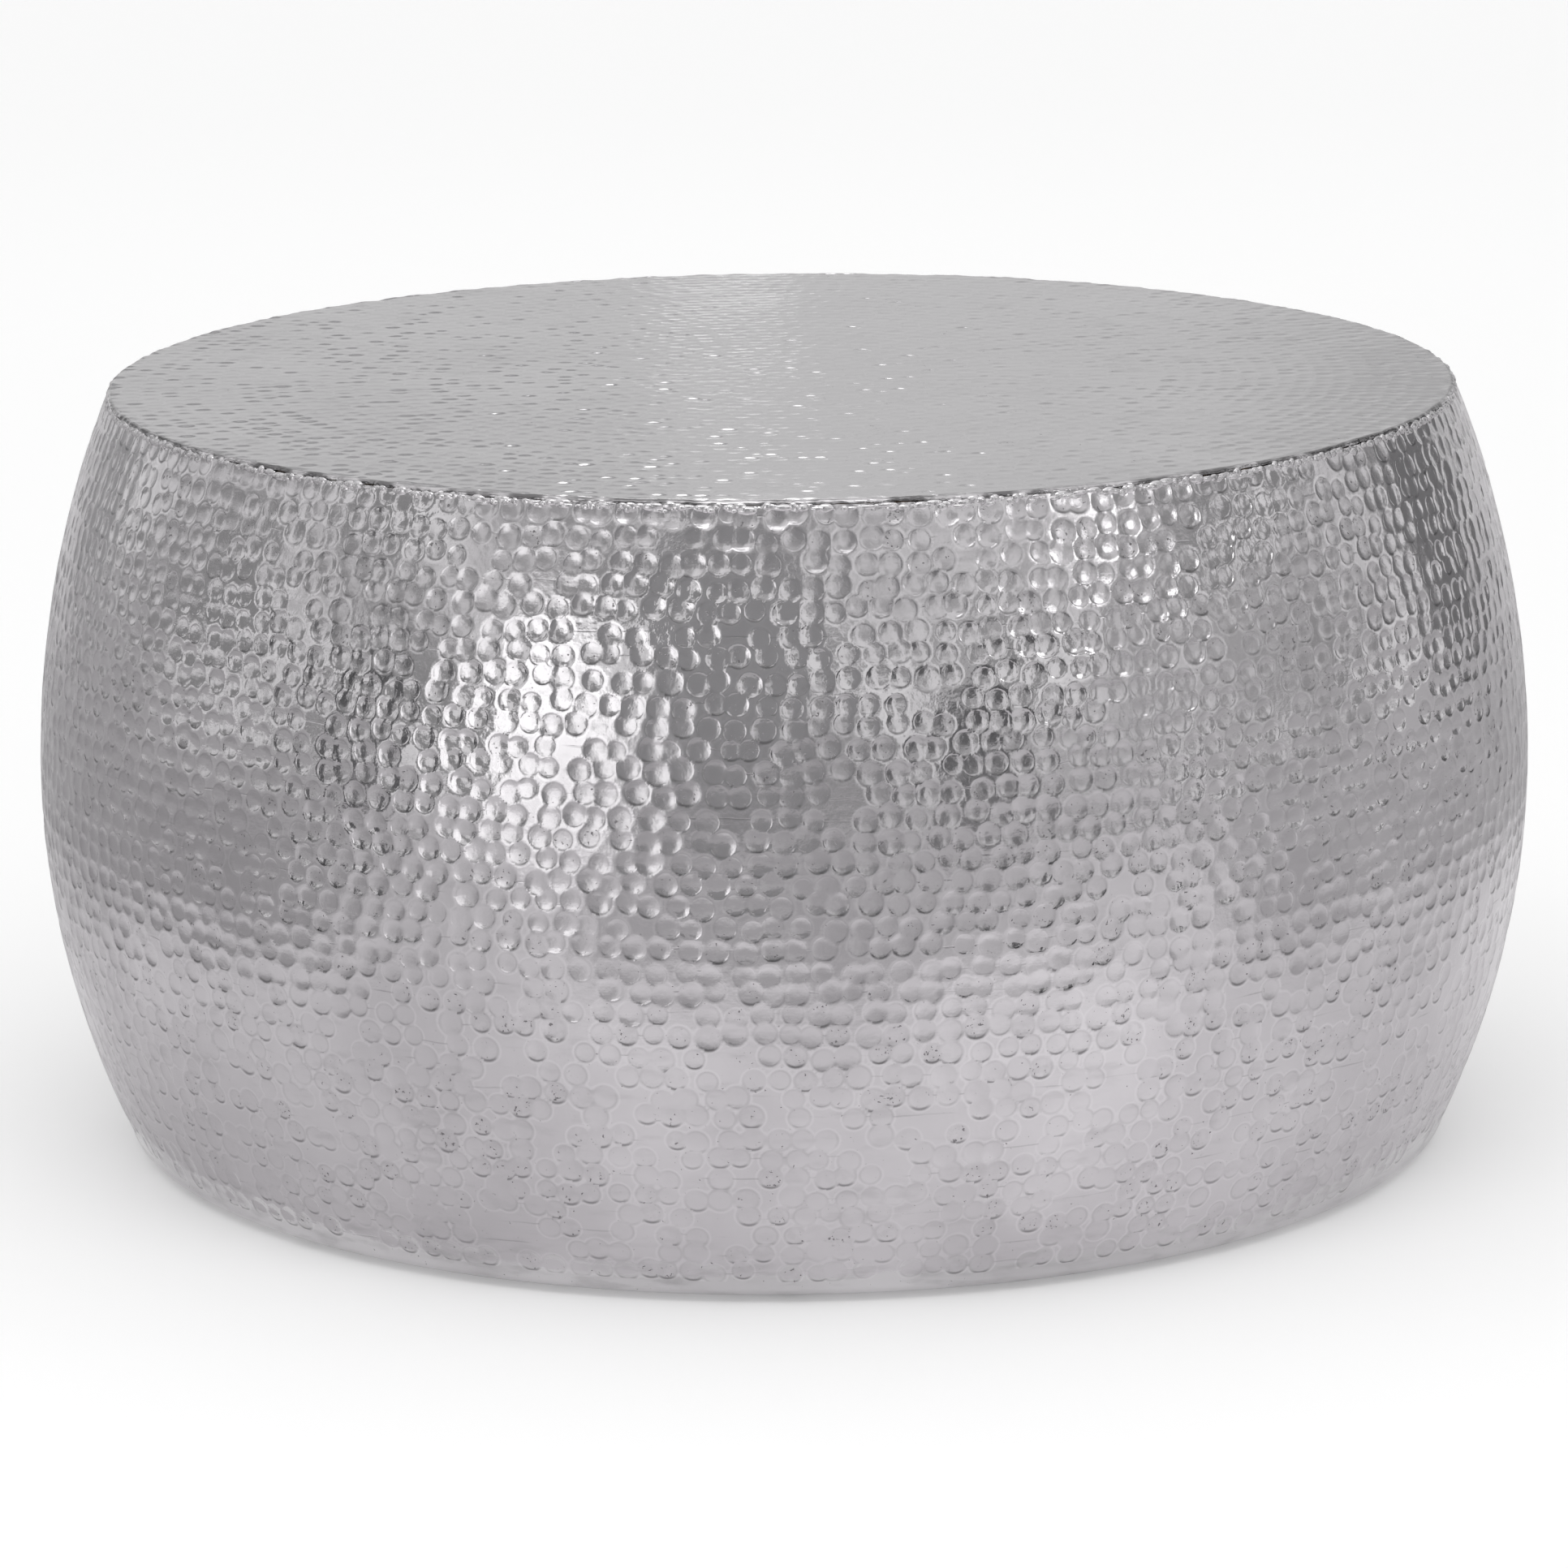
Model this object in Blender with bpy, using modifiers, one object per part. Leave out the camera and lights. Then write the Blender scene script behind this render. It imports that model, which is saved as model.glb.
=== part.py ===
"""Hammered aluminium drum coffee table: a barrel-shaped sheet-metal drum with a flat top.

Metres, +Z up. The origin is on the floor, on the drum's axis.
"""
import math

import bmesh
import bpy
from mathutils import Matrix, Vector

# Driving dimensions of the drum
BELLY_DIAMETER = 0.760
TOP_HEIGHT = 0.385
BELLY_HEIGHT = 0.188
UPPER_WALL_ARC = 0.500
LOWER_WALL_ARC = 0.425
WALL_SHEET = 0.0015
TOP_SHEET = 0.0020
TOP_EDGE_ROUND = 0.0012
FOOT_BEND = 0.006
FLANGE_FLAT = 0.030

# Board under the top, and the angle ring that carries it
BOARD_THICKNESS = 0.015
RING_SHEET = 0.0025
RING_LEDGE = 0.026
RING_UPRIGHT = 0.025
RING_SPLIT = 0.004
BOARD_SCREWS = 8
BOARD_SCREW_DIAMETER = 0.004
BOARD_SCREW_BITE = 0.010
BOARD_SCREW_HEAD_DIAMETER = 0.008
BOARD_SCREW_HEAD_HEIGHT = 0.0026

# Ring on the foot flange, and the glides under it
BASE_RING_THICKNESS = 0.015
BASE_RING_WIDTH = 0.042
GLIDES = 6
GLIDE_DIAMETER = 0.018
GLIDE_THICKNESS = 0.003
GLIDE_INSET = 0.018
GLIDE_WEB = 0.0010
GLIDE_BEVEL = 0.0009
GLIDE_SCREW_DIAMETER = 0.0035
GLIDE_SCREW_BITE = 0.011
GLIDE_SCREW_HEAD_DIAMETER = 0.007
GLIDE_SCREW_HEAD_HEIGHT = 0.0014

# Fits and facets
FIT_GAP = 0.0003
RECESS_WIDTH = 0.0010
RECESS_DEPTH = 0.0009
SEGMENTS = 60
SCREW_SEGMENTS = 12
GLIDE_SEGMENTS = 20
WALL_STEPS = 14
BEND_STEPS = 3

BELLY_RADIUS = BELLY_DIAMETER / 2
FOOT_Z = GLIDE_THICKNESS + FIT_GAP
WALL_TOP_Z = TOP_HEIGHT - TOP_SHEET - FIT_GAP
BOARD_TOP_Z = WALL_TOP_Z
BOARD_BOTTOM_Z = BOARD_TOP_Z - BOARD_THICKNESS
LEDGE_TOP_Z = BOARD_BOTTOM_Z - FIT_GAP
FLANGE_TOP_Z = FOOT_Z + WALL_SHEET


def wall_radius(z):
    """Outer radius of the drum's wall at height z: two arcs that meet at the belly."""
    rise = z - BELLY_HEIGHT
    arc = UPPER_WALL_ARC if rise > 0 else LOWER_WALL_ARC
    return BELLY_RADIUS - (arc - math.sqrt(arc * arc - rise * rise))


def wall_slope(z):
    """Angle of the wall from the vertical at height z."""
    rise = z - BELLY_HEIGHT
    arc = UPPER_WALL_ARC if rise > 0 else LOWER_WALL_ARC
    return math.asin(abs(rise) / arc)


def inner_radius(z):
    """Inner radius of the drum's wall at height z."""
    return wall_radius(z) - WALL_SHEET / math.cos(wall_slope(z))


BEND_TOP_Z = FOOT_Z + FOOT_BEND
FLANGE_OUTER = wall_radius(BEND_TOP_Z) - FOOT_BEND
FLANGE_INNER = FLANGE_OUTER - FLANGE_FLAT
BASE_RING_OUTER = FLANGE_OUTER - WALL_SHEET
BASE_RING_INNER = BASE_RING_OUTER - BASE_RING_WIDTH
GLIDE_CIRCLE = FLANGE_OUTER - GLIDE_INSET
BOARD_RADIUS = inner_radius(BOARD_TOP_Z) - FIT_GAP
LEDGE_INNER = BOARD_RADIUS - RING_LEDGE
BOARD_SCREW_CIRCLE = BOARD_RADIUS - RING_LEDGE / 2


def paint(name, colour, roughness, metallic):
    """A plain material with the part's colour and finish."""
    material = bpy.data.materials.new(name)
    material.use_nodes = True
    shader = material.node_tree.nodes["Principled BSDF"]
    shader.inputs["Base Color"].default_value = (*colour, 1)
    shader.inputs["Roughness"].default_value = roughness
    shader.inputs["Metallic"].default_value = metallic
    return material


def turned(name, profile, closed, segments, material, parent, collection):
    """An object turned about Z from (radius, height) points that run down its outer side."""
    mesh = bpy.data.meshes.new(name)
    count = len(profile)
    edges = [(i, i + 1) for i in range(count - 1)]
    if closed:
        edges.append((count - 1, 0))
    mesh.from_pydata([(radius, 0, z) for radius, z in profile], edges, [])
    thing = bpy.data.objects.new(name, mesh)
    collection.objects.link(thing)
    mesh.materials.append(material)
    thing.parent = parent
    screw = thing.modifiers.new("Turn", "SCREW")
    screw.axis = "Z"
    screw.angle = math.tau
    screw.steps = segments
    screw.render_steps = segments
    screw.use_merge_vertices = True
    screw.merge_threshold = 0.00001
    return thing


def cut(thing, cutter):
    """Takes the cutter's shape out of a thing. The cutter's own bodies may cross."""
    boolean = thing.modifiers.new("Cut", "BOOLEAN")
    boolean.operation = "DIFFERENCE"
    boolean.solver = "EXACT"
    boolean.use_self = True
    boolean.object = cutter


def hide_as_cutter(name, bm, collection):
    """Makes a bmesh an object that cuts others and is not itself a part."""
    mesh = bpy.data.meshes.new(name)
    bm.to_mesh(mesh)
    bm.free()
    cutter = bpy.data.objects.new(name, mesh)
    collection.objects.link(cutter)
    cutter.hide_render = True
    cutter.display_type = "WIRE"
    return cutter


def on_circle(radius, count, first_angle):
    """Points spaced evenly round a circle about the drum's axis."""
    turn = math.tau / count
    return [Vector((radius * math.cos(first_angle + i * turn), radius * math.sin(first_angle + i * turn), 0))
            for i in range(count)]


def drill(name, places, diameter, bottom, top, collection):
    """A cutter with one upright round hole at each place."""
    bm = bmesh.new()
    for place in places:
        centre = Matrix.Translation(place + Vector((0, 0, (bottom + top) / 2)))
        bmesh.ops.create_cone(bm, cap_ends=True, segments=SCREW_SEGMENTS, radius1=diameter / 2,
                              radius2=diameter / 2, depth=top - bottom, matrix=centre)
    return hide_as_cutter(name, bm, collection)


def screw_profile(tip, seat, shank, head, drop):
    """A screw that points up: its shank from the tip to the seat, then a domed head below the seat."""
    profile = [(0, tip), (shank, tip - shank), (shank, seat)]
    for i in range(BEND_STEPS + 1):
        angle = math.pi / 2 * i / BEND_STEPS
        profile.append((head * math.cos(angle), seat - drop * math.sin(angle)))
    profile[-1] = (0, seat - drop)
    return profile


def cross_recess(name, length, head_bottom, collection):
    """A cutter for the driver recess in a screw's head: two crossed slots, as deep above as below."""
    bm = bmesh.new()
    for long_side, short_side in ((length, RECESS_WIDTH), (RECESS_WIDTH, length)):
        shape = Matrix.Diagonal((long_side, short_side, 2 * RECESS_DEPTH, 1))
        bmesh.ops.create_cube(bm, size=1, matrix=Matrix.Translation((0, 0, head_bottom)) @ shape)
    return hide_as_cutter(name, bm, collection)


def cut_at(thing, cutter, place, index, collection):
    """Cuts with a copy of the cutter that stands at the place."""
    copy = bpy.data.objects.new(f"{cutter.name}_{index + 1}", cutter.data)
    collection.objects.link(copy)
    copy.location = place
    copy.hide_render = True
    copy.display_type = "WIRE"
    cut(thing, copy)


def make_shell(parent, parts, material):
    """The wall from rim to foot, then the bend and the flange turned in at the foot."""
    profile = []
    for i in range(WALL_STEPS + 1):
        z = WALL_TOP_Z + (BEND_TOP_Z - WALL_TOP_Z) * i / WALL_STEPS
        profile.append((wall_radius(z), z))
    for i in range(1, BEND_STEPS + 1):
        angle = math.pi / 2 * i / BEND_STEPS
        profile.append((FLANGE_OUTER + FOOT_BEND * math.cos(angle), BEND_TOP_Z - FOOT_BEND * math.sin(angle)))
    profile.append((FLANGE_INNER, FOOT_Z))
    shell = turned("drum_shell", profile, False, SEGMENTS, material, parent, parts)
    sheet = shell.modifiers.new("Sheet", "SOLIDIFY")
    sheet.thickness = WALL_SHEET
    sheet.offset = -1
    sheet.use_even_offset = True
    return shell


def make_top_sheet(parent, parts, material):
    """The flat top: a disc on the wall's upper edge, flush with the wall, its edge filed round."""
    bottom = WALL_TOP_Z + FIT_GAP
    radius = wall_radius(bottom)
    profile = [(0, TOP_HEIGHT)]
    for i in range(BEND_STEPS + 1):
        angle = math.pi / 2 * i / BEND_STEPS
        profile.append((radius - TOP_EDGE_ROUND + TOP_EDGE_ROUND * math.sin(angle),
                        TOP_HEIGHT - TOP_EDGE_ROUND + TOP_EDGE_ROUND * math.cos(angle)))
    profile += [(radius, bottom), (0, bottom)]
    turned("top_sheet", profile, False, SEGMENTS, material, parent, parts)


def make_top_board(parent, parts, material):
    """The board under the top sheet."""
    top = BOARD_TOP_Z
    profile = [(0, top), (BOARD_RADIUS, top), (BOARD_RADIUS, BOARD_BOTTOM_Z), (0, BOARD_BOTTOM_Z)]
    return turned("top_board", profile, False, SEGMENTS, material, parent, parts)


def make_rim_ring(parent, parts, cutters, material):
    """The angle ring under the board: a flat ledge, and an upright leg that lies against the wall."""
    upright_bottom = LEDGE_TOP_Z - RING_SHEET - RING_UPRIGHT
    heights = [LEDGE_TOP_Z, LEDGE_TOP_Z - RING_SHEET, (LEDGE_TOP_Z + upright_bottom) / 2, upright_bottom]
    outer = [(inner_radius(z) - FIT_GAP, z) for z in heights]
    inner = [(radius - RING_SHEET, z) for radius, z in reversed(outer[1:])]
    ledge = [(LEDGE_INNER, LEDGE_TOP_Z - RING_SHEET), (LEDGE_INNER, LEDGE_TOP_Z)]
    ring = turned("rim_ring", outer + inner + ledge, True, SEGMENTS, material, parent, parts)
    bm = bmesh.new()
    reach = BELLY_RADIUS
    shape = Matrix.Diagonal((RING_SPLIT, reach, TOP_HEIGHT, 1))
    bmesh.ops.create_cube(bm, size=1, matrix=Matrix.Translation((0, reach, TOP_HEIGHT / 2)) @ shape)
    cut(ring, hide_as_cutter("ring_split_cutter", bm, cutters))
    return ring


def make_board_screws(parent, parts, cutters, ring, board, material):
    """Pan-head screws up through the ring's ledge into the board."""
    places = on_circle(BOARD_SCREW_CIRCLE, BOARD_SCREWS, math.pi / BOARD_SCREWS)
    seat = LEDGE_TOP_Z - RING_SHEET - FIT_GAP
    tip = BOARD_BOTTOM_Z + BOARD_SCREW_BITE
    hole = BOARD_SCREW_DIAMETER + 2 * FIT_GAP
    drilled = drill("board_screw_holes", places, hole, seat - RING_SHEET, tip + FIT_GAP, cutters)
    cut(ring, drilled)
    cut(board, drilled)
    shank = BOARD_SCREW_DIAMETER / 2
    head = BOARD_SCREW_HEAD_DIAMETER / 2
    drop = BOARD_SCREW_HEAD_HEIGHT
    profile = screw_profile(tip, seat, shank, head, drop)
    recess = cross_recess("board_screw_recess", head, seat - drop, cutters)
    for i, place in enumerate(places):
        screw = turned(f"board_screw_{i + 1}", profile, False, SCREW_SEGMENTS, material, parent, parts)
        screw.location = place
        cut_at(screw, recess, place, i, cutters)


def make_base_ring(parent, parts, material):
    """The board ring that lies on the foot's flange."""
    bottom = FLANGE_TOP_Z + FIT_GAP
    top = bottom + BASE_RING_THICKNESS
    profile = [(BASE_RING_OUTER, top), (BASE_RING_OUTER, bottom),
               (BASE_RING_INNER, bottom), (BASE_RING_INNER, top)]
    return turned("base_ring", profile, True, SEGMENTS, material, parent, parts)


def make_glides(parent, parts, cutters, shell, ring, glide_material, screw_material):
    """Round glides under the flange, each held by a screw that goes on up into the base ring."""
    places = on_circle(GLIDE_CIRCLE, GLIDES, math.pi / 2)
    hole = GLIDE_SCREW_DIAMETER + 2 * FIT_GAP
    well_top = GLIDE_THICKNESS - GLIDE_WEB
    seat = well_top - FIT_GAP
    tip = FLANGE_TOP_Z + FIT_GAP + GLIDE_SCREW_BITE
    drilled = drill("glide_screw_holes", places, hole, -GLIDE_THICKNESS, tip + FIT_GAP, cutters)
    cut(shell, drilled)
    cut(ring, drilled)
    outer = GLIDE_DIAMETER / 2
    well = GLIDE_SCREW_HEAD_DIAMETER / 2 + FIT_GAP
    glide_profile = [(outer, GLIDE_THICKNESS), (outer, GLIDE_BEVEL), (outer - GLIDE_BEVEL, 0), (well, 0),
                     (well, well_top), (hole / 2, well_top), (hole / 2, GLIDE_THICKNESS)]
    shank = GLIDE_SCREW_DIAMETER / 2
    head = GLIDE_SCREW_HEAD_DIAMETER / 2
    drop = GLIDE_SCREW_HEAD_HEIGHT
    profile = screw_profile(tip, seat, shank, head, drop)
    recess = cross_recess("glide_screw_recess", head, seat - drop, cutters)
    for i, place in enumerate(places):
        glide = turned(f"glide_{i + 1}", glide_profile, True, GLIDE_SEGMENTS, glide_material, parent, parts)
        glide.location = place
        screw = turned(f"glide_screw_{i + 1}", profile, False, SCREW_SEGMENTS, screw_material, parent, parts)
        screw.location = place
        cut_at(screw, recess, place, i, cutters)


def main():
    for thing in list(bpy.data.objects):
        bpy.data.objects.remove(thing, do_unlink=True)
    parts = bpy.data.collections.new("drum_coffee_table")
    cutters = bpy.data.collections.new("cutters")
    bpy.context.scene.collection.children.link(parts)
    bpy.context.scene.collection.children.link(cutters)
    table = bpy.data.objects.new("drum_coffee_table", None)
    parts.objects.link(table)

    aluminium = paint("hammered aluminium", (0.60, 0.59, 0.60), 0.25, 1.0)
    top_aluminium = paint("hammered top aluminium", (0.60, 0.59, 0.60), 0.28, 1.0)
    mill_aluminium = paint("mill-finish aluminium", (0.62, 0.62, 0.63), 0.45, 1.0)
    fibreboard = paint("fibreboard", (0.36, 0.24, 0.14), 0.85, 0.0)
    nylon = paint("black nylon", (0.03, 0.03, 0.03), 0.5, 0.0)
    zinc = paint("zinc-plated steel", (0.58, 0.58, 0.55), 0.35, 1.0)

    shell = make_shell(table, parts, aluminium)
    make_top_sheet(table, parts, top_aluminium)
    board = make_top_board(table, parts, fibreboard)
    ring = make_rim_ring(table, parts, cutters, mill_aluminium)
    make_board_screws(table, parts, cutters, ring, board, zinc)
    base_ring = make_base_ring(table, parts, fibreboard)
    make_glides(table, parts, cutters, shell, base_ring, nylon, zinc)


main()
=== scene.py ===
"""Looks of the hammered aluminium drum coffee table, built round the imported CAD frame."""
import math

import bmesh
import bpy
from mathutils import Matrix, Quaternion, Vector


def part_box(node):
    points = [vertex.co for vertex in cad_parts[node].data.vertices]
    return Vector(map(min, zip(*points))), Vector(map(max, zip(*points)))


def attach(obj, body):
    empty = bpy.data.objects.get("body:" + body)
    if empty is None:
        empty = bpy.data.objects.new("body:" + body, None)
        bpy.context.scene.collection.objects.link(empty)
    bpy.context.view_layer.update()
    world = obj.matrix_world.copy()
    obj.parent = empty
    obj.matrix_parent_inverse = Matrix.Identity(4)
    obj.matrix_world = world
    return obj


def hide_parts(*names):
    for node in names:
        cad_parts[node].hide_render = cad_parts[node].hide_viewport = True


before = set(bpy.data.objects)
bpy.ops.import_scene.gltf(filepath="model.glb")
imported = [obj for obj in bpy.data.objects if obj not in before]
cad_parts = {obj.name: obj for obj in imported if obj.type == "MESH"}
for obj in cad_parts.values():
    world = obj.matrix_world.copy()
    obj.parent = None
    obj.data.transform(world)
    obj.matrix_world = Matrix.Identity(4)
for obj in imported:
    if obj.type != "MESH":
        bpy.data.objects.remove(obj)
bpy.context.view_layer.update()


# Drum wall
# One aluminium sheet, rolled to a barrel and welded up the back, then beaten all over from outside
# with a ball-peen hammer in level rows. It is shown as six sectors of one sheet that meet edge to edge.
wall_low, wall_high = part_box("drum_shell")
BELLY_RADIUS = wall_high.x
BELLY_HEIGHT = 0.188
UPPER_ARC = 0.500
LOWER_ARC = 0.425
WALL_SHEET = 0.0015
FOOT_Z = wall_low.z
WALL_TOP_Z = wall_high.z
PLAIN_BAND_Z = FOOT_Z + 0.0085
SEAM_ANGLE = math.pi / 2
SEAM_FILED = (0.006, 0.016)
SEAM_FILE_MARKS = 0.0006
SECTORS = 6
SECTOR_COLUMNS = 266
SECTOR_ROWS = 263
BLOW_ROWS = 36
BLOWS_PER_ROW = 192
ROW_PITCH = (WALL_TOP_Z - PLAIN_BAND_Z) / BLOW_ROWS
ROW_LEVEL = (0.42, 0.58)
ROW_SHIFT_SEED = 5
ROW_LEVEL_SEED = 6
BLOW_SLIP = 0.20
BLOW_DRIFT = 0.15
WALL_REACH = (0.0050, 0.0063)
MISSED_REACH = 0.0001
MISSED_SHARE = (0.20, 0.03)
MISSED_ROWS = (8.0, 17.0)
WALL_FORCE = (0.50, 1.25)
FOOT_FORCE = 0.80
SOFT_ROWS = (4.0, 16.0)
WALL_BLUNTNESS = 3.0
WALL_BALL_RADIUS = 0.029
WALL_TILT = 0.5
LIP_RISE = 0.00007
LIP_MIDDLE = 1.1
LIP_HALF_WIDTH = 0.3
WALL_WAVE = 0.0011
BLOW_MARKS = ("blow", "below", "grime")
WALL_BRIGHT = (0.62, 0.605, 0.62)
WALL_DULL = (0.54, 0.525, 0.54)
PIT_COLOUR = (0.10, 0.095, 0.10)


class Value:
    """A node's output, which is added, multiplied and so on as a plain number is."""

    def __init__(self, socket):
        self.socket = socket
        self.tree = socket.id_data

    def __add__(self, other):
        return calc("ADD", self, other)

    def __radd__(self, other):
        return calc("ADD", other, self)

    def __sub__(self, other):
        return calc("SUBTRACT", self, other)

    def __rsub__(self, other):
        return calc("SUBTRACT", other, self)

    def __mul__(self, other):
        return calc("MULTIPLY", self, other)

    def __truediv__(self, other):
        return calc("DIVIDE", self, other)

    def __rtruediv__(self, other):
        return calc("DIVIDE", other, self)

    def __pow__(self, other):
        return calc("POWER", self, other)

    def __abs__(self):
        return calc("ABSOLUTE", self)


def feed(socket, value):
    """Links a socket to a value of its tree, or sets it to a plain one."""
    if isinstance(value, Value):
        value.tree.links.new(value.socket, socket)
    else:
        socket.default_value = value


def step(tree, kind, inputs=None, output=0, **settings):
    """One node with its settings and inputs, and the output that is used."""
    node = tree.nodes.new(kind)
    for name, setting in settings.items():
        setattr(node, name, setting)
    for name, value in (inputs or {}).items():
        feed(node.inputs[name], value)
    return Value(node.outputs[output])


def tree_of(values):
    """The tree that the values are in, of which some may be plain numbers."""
    return next(value.tree for value in values if isinstance(value, Value))


def calc(operation, *values):
    """A number worked out from numbers."""
    return step(tree_of(values), "ShaderNodeMath", dict(enumerate(values)), operation=operation)


def vector_calc(operation, *values):
    """A vector worked out from vectors; LENGTH and DISTANCE give a number."""
    inputs = dict(enumerate(values))
    result = "Value" if operation in ("LENGTH", "DISTANCE") else "Vector"
    return step(tree_of(values), "ShaderNodeVectorMath", inputs, result, operation=operation)


def scaled(vector, factor):
    """A vector times a number."""
    inputs = {0: vector, "Scale": factor}
    return step(vector.tree, "ShaderNodeVectorMath", inputs, "Vector", operation="SCALE")


def point(*axes):
    """A vector from three numbers."""
    return step(tree_of(axes), "ShaderNodeCombineXYZ", dict(enumerate(axes)))


def axes_of(vector):
    """The three numbers of a vector."""
    node = vector.tree.nodes.new("ShaderNodeSeparateXYZ")
    feed(node.inputs[0], vector)
    return [Value(socket) for socket in node.outputs]


def polar(radius, angle, z):
    """A vector from a radius, an angle about Z and a height."""
    return point(radius * calc("COSINE", angle), radius * calc("SINE", angle), z)


def ramp_up(value, start, end):
    """0 before start, 1 after end, and a smooth rise between them."""
    inputs = {"Value": value, "From Min": start, "From Max": end}
    return step(value.tree, "ShaderNodeMapRange", inputs, "Result", interpolation_type="SMOOTHSTEP")


def between(value, low, high):
    """Takes a value from 0 to 1 to the range from low to high."""
    return step(value.tree, "ShaderNodeMapRange", {"Value": value, "To Min": low, "To Max": high}, "Result")


def band(value, middle, half_width):
    """1 where a value is at the middle, falling to 0 on both sides."""
    return 1.0 - ramp_up(abs(value - middle), 0.0, half_width)


def dice(low, high, seed, identity):
    """A random number for each identity."""
    node = identity.tree.nodes.new("FunctionNodeRandomValue")
    node.data_type = "FLOAT"
    sockets = {socket.identifier: socket for socket in (*node.inputs, *node.outputs)}
    for name, value in (("Min_001", low), ("Max_001", high), ("ID", identity), ("Seed", seed)):
        feed(sockets[name], value)
    return Value(sockets["Value_001"])


def noise(vector, scale, detail):
    """A cloudy value from 0 to 1 over a surface."""
    return step(vector.tree, "ShaderNodeTexNoise", {"Vector": vector, "Scale": scale, "Detail": detail})


def new_tree(name, numbers, whole_numbers):
    """An empty geometry tree, and its named inputs."""
    tree = bpy.data.node_groups.new(name, "GeometryNodeTree")
    for labels, kind in ((numbers, "NodeSocketFloat"), (whole_numbers, "NodeSocketInt")):
        for label in labels:
            tree.interface.new_socket(label, in_out="INPUT", socket_type=kind)
    tree.interface.new_socket("Geometry", in_out="OUTPUT", socket_type="NodeSocketGeometry")
    start = tree.nodes.new("NodeGroupInput")
    return tree, {label: Value(start.outputs[label]) for label in (*numbers, *whole_numbers)}


def finish_tree(geometry, material):
    """Realizes what is instanced, sets the material and closes the tree."""
    tree = geometry.tree
    real = step(tree, "GeometryNodeRealizeInstances", {0: geometry})
    painted = step(tree, "GeometryNodeSetMaterial", {"Geometry": real, "Material": material})
    feed(tree.nodes.new("NodeGroupOutput").inputs[0], painted)
    return tree


def settle(thing):
    """Keeps what an object's modifiers make as its plain mesh."""
    evaluated = thing.evaluated_get(bpy.context.evaluated_depsgraph_get())
    mesh = bpy.data.meshes.new_from_object(evaluated)
    thing.modifiers.clear()
    thing.data = mesh


def grow(name, tree, values):
    """Runs a geometry tree with the given inputs and keeps the result as a plain mesh object."""
    thing = bpy.data.objects.new(name, bpy.data.meshes.new(name))
    bpy.context.scene.collection.objects.link(thing)
    modifier = thing.modifiers.new("Grow", "NODES")
    modifier.node_group = tree
    for item in tree.interface.items_tree:
        if item.in_out == "INPUT":
            modifier[item.identifier] = values[item.name]
    settle(thing)
    thing.data.name = name
    return thing


def barrel(z):
    """Radius of the plain wall at height z, and the sine and cosine of its lean from the upright."""
    rise = z - BELLY_HEIGHT
    arc = between(calc("GREATER_THAN", rise, 0.0), LOWER_ARC, UPPER_ARC)
    lean = rise / arc
    run = calc("SQRT", 1.0 - lean * lean)
    return BELLY_RADIUS - (arc - arc * run), lean, run


def on_barrel(angle, z):
    """A point of the plain wall, and the outward normal there."""
    radius, lean, run = barrel(z)
    return polar(radius, angle, z), polar(run, angle, lean)


def struck(place, blows, reach, depth, grime, bluntness, tilt):
    """The nearest blow's dent at a place: depth, distance and drop from its centre by reach, and the blow's
    value for stains and painted shade.
    """
    tree = place.tree
    nearest = step(tree, "GeometryNodeSampleNearest", {"Geometry": blows, "Sample Position": place}, "Index")

    def of_nearest(value, kind):
        """A blow's own value, taken from the nearest blow."""
        inputs = {"Geometry": blows, "Value": value, "Index": nearest}
        return step(tree, "GeometryNodeSampleIndex", inputs, "Value", data_type=kind)

    centre = of_nearest(step(tree, "GeometryNodeInputPosition"), "FLOAT_VECTOR")
    reach, depth, grime = [of_nearest(value, "FLOAT") for value in (reach, depth, grime)]
    offset_x, offset_y, offset_z = axes_of(vector_calc("SUBTRACT", centre, place))
    share = vector_calc("DISTANCE", place, centre) / reach
    bowl = calc("MAXIMUM", 1.0 - share ** bluntness, 0.0)
    below = offset_z / reach
    x, y, _ = axes_of(place)
    aside = (offset_y * x - offset_x * y) / BELLY_RADIUS / reach
    slants = []
    for way, spread in ((below, 37.0), (aside, 91.0)):
        slants.append(way * between(calc("FRACT", grime * spread), -tilt, tilt))
    bowl = bowl * (1.0 + (slants[0] + slants[1]))
    return bowl * depth, share, below, grime


def wall_blows(tree, row_parity, column_parity, seed):
    """Every other blow of every other row, so that no two overlap, and each one's reach, depth and value for
    stains and painted shade.
    """
    index = step(tree, "GeometryNodeInputIndex")
    half_row = BLOWS_PER_ROW // 2
    row = calc("FLOOR", (index + 0.5) / half_row) * 2.0 + row_parity
    column = calc("FLOORED_MODULO", index, half_row) * 2.0
    slip = dice(0.0, 2.0, ROW_SHIFT_SEED, row) + dice(-BLOW_SLIP, BLOW_SLIP, seed, index)
    angle = (column + column_parity + slip) * (math.tau / BLOWS_PER_ROW)
    drift = dice(-BLOW_DRIFT, BLOW_DRIFT, seed + 1, index) + dice(*ROW_LEVEL, ROW_LEVEL_SEED, row)
    place, _ = on_barrel(angle, (row + drift) * ROW_PITCH + PLAIN_BAND_Z)
    points = step(tree, "GeometryNodePoints", {"Count": half_row * BLOW_ROWS // 2, "Position": place})
    skipped = between(ramp_up(row, *MISSED_ROWS), *MISSED_SHARE)
    missed = calc("LESS_THAN", dice(0.0, 1.0, seed + 5, index), skipped)
    reach = between(missed, dice(*WALL_REACH, seed + 2, index), MISSED_REACH)
    force = dice(*WALL_FORCE, seed + 3, index) * between(ramp_up(row, *SOFT_ROWS), FOOT_FORCE, 1.0)
    cap = reach * reach / (2 * WALL_BALL_RADIUS)
    return points, reach, cap * force, dice(0.0, 1.0, seed + 4, index)


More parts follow.
